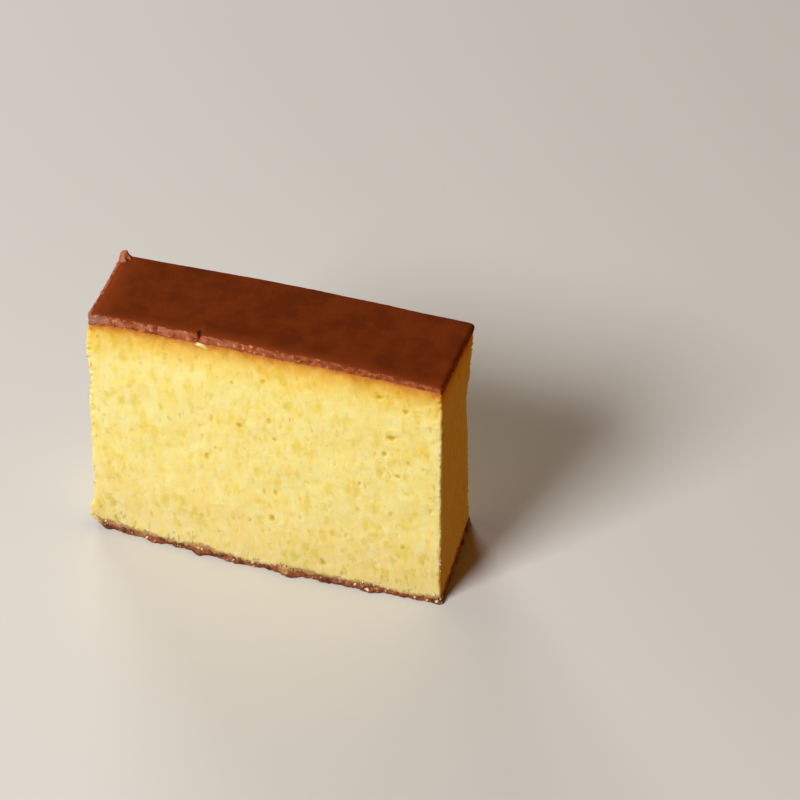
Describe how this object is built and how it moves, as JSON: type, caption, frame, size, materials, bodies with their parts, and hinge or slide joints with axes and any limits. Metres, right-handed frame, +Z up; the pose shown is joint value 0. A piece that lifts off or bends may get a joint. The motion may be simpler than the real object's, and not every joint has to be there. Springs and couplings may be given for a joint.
{
  "type": "castella cake slice",
  "caption": "Tall slice of fine-crumbed yellow sponge cake with a dark brown baked top and a thin brown base, standing on its base.",
  "frame": {"origin": "middle of the base, on the surface that the slice stands on", "axes": "+X along the slice's length, -Y out of its front cut face, +Z up"},
  "size_m": [0.1052, 0.0386, 0.0741],
  "materials": {
    "sponge": "soft yellow cake crumb with small open air cells, matte",
    "top_crust": "smooth baked skin, deep reddish brown, satin",
    "base_crust": "thin baked skin, red-brown, ragged, matte"
  },
  "bodies": {
    "root": {"castella_slice": "sponge"}
  },
  "joints": []
}
